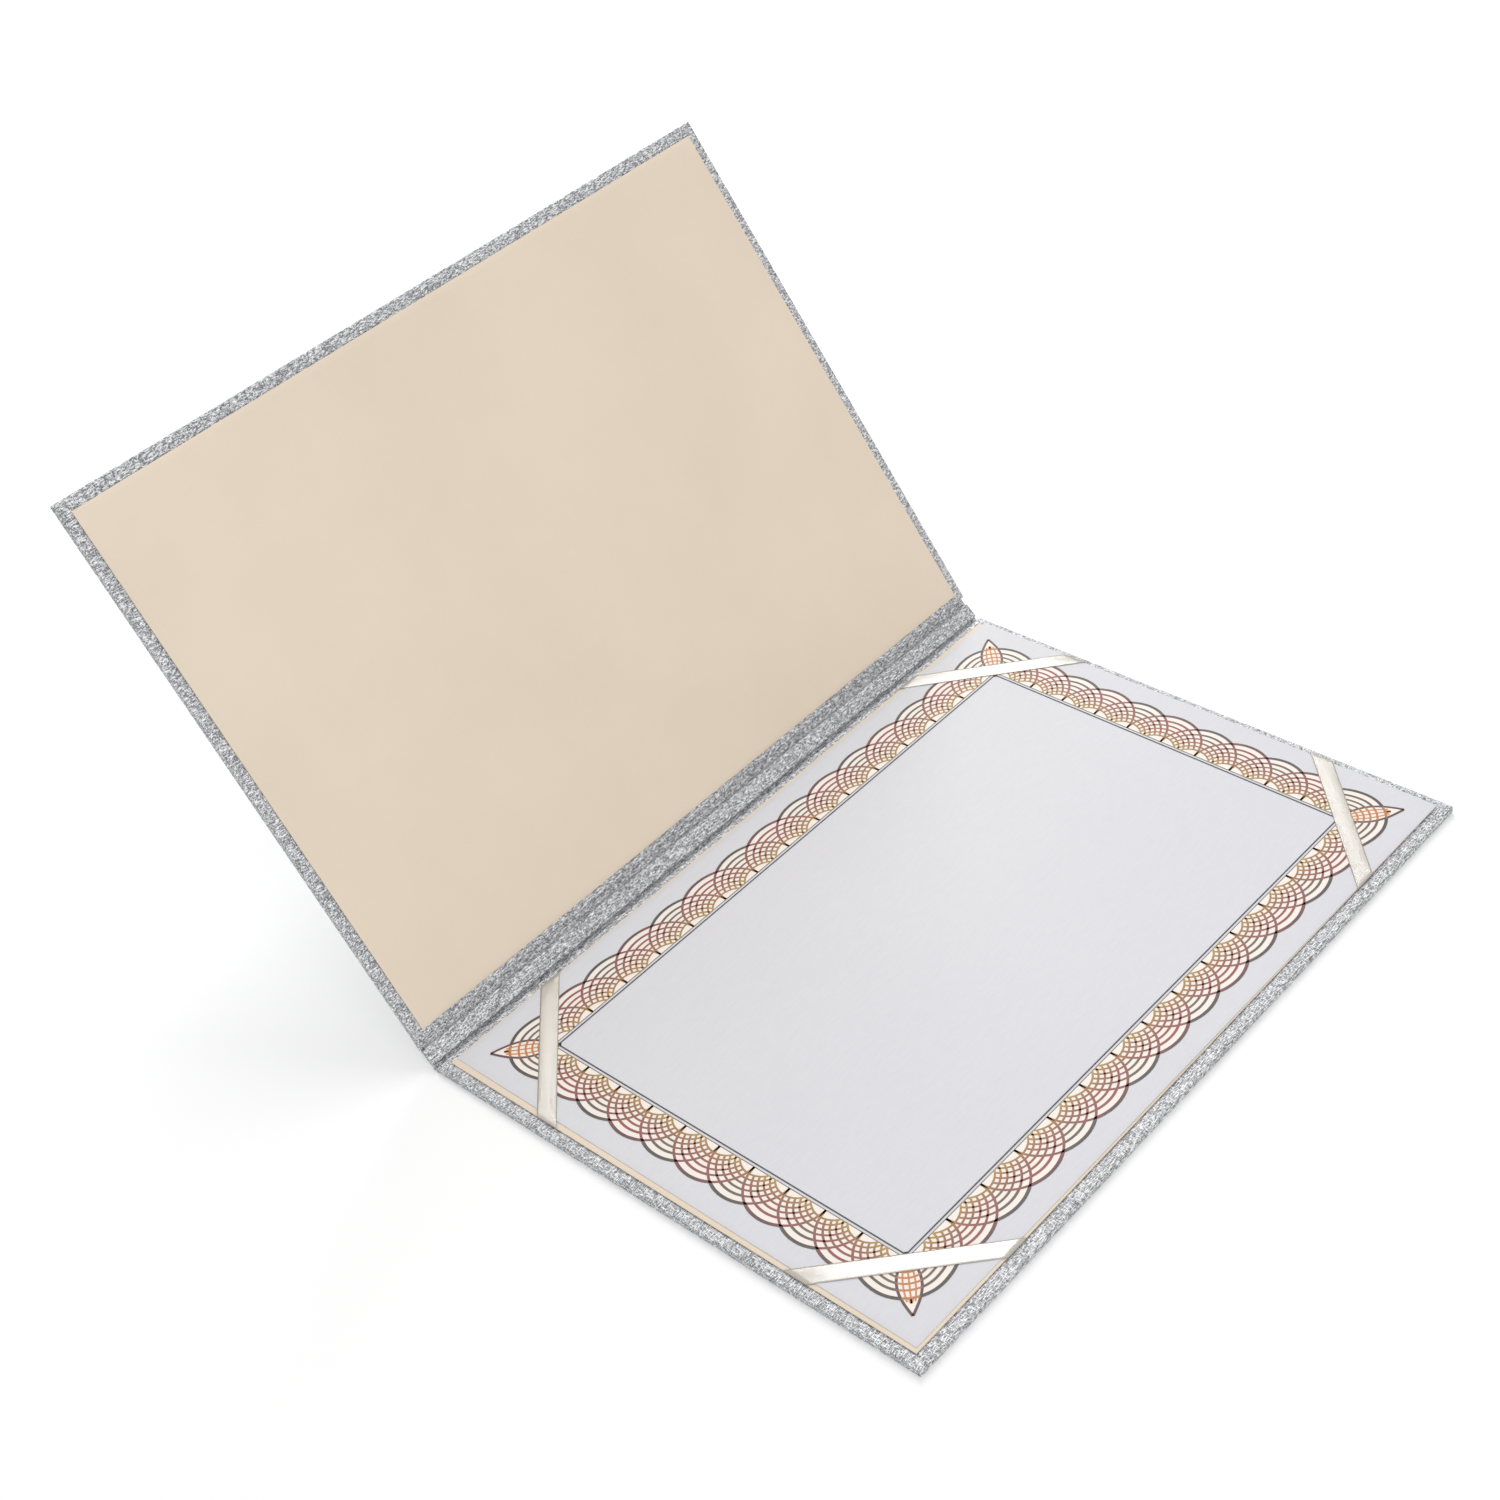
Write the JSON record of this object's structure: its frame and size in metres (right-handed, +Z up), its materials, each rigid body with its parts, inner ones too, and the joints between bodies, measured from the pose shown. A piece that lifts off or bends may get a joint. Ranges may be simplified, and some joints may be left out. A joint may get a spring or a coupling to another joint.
{
  "type": "diploma cover",
  "caption": "Hinged presentation cover with a silver paper case, cream linings and corner ribbons that hold a certificate with a scalloped lace border.",
  "frame": {"origin": "middle of the back cover's underside, which lies flat on the table", "axes": "+Y along the spine towards the head, +X from the spine to the back cover's fore-edge, +Z up"},
  "size_m": [0.3465, 0.3064, 0.1961],
  "materials": {
    "board": "plain grey board",
    "silver_paper": "embossed metallic silver",
    "cream_lining": "smooth matte",
    "certificate_paper": "smooth matte",
    "rule_ink": "matte print",
    "lace_tint": "matte print",
    "lace_ink": "matte print",
    "ribbon": "satin"
  },
  "bodies": {
    "back_cover": {"back_board": "board", "back_cover_sheet": "silver_paper", "back_spine_strip": "silver_paper", "back_lining": "cream_lining", "certificate": "certificate_paper", "print_rule": "rule_ink", "print_lace_field": "lace_tint", "print_lace_lines": "lace_ink", "ribbon_tail_spine": "ribbon", "ribbon_head_spine": "ribbon", "ribbon_tail_fore": "ribbon", "ribbon_head_fore": "ribbon"},
    "spine": {"spine_board": "board", "spine_cover_sheet": "silver_paper", "spine_strip": "silver_paper"},
    "front_cover": {"front_board": "board", "front_cover_sheet": "silver_paper", "front_spine_strip": "silver_paper", "front_lining": "cream_lining"}
  },
  "joints": [
    {"name": "back_hinge", "type": "hinge", "parent": "back_cover", "child": "spine", "pos_m": [-0.11065, 0, 0.0008], "axis": [0, 1, 0], "range_deg": [-46.8, 43.2]},
    {"name": "front_hinge", "type": "hinge", "parent": "spine", "child": "front_cover", "pos_m": [-0.11736, 0, 0.00794], "axis": [0, 1, 0], "range_deg": [-11, 79]}
  ]
}
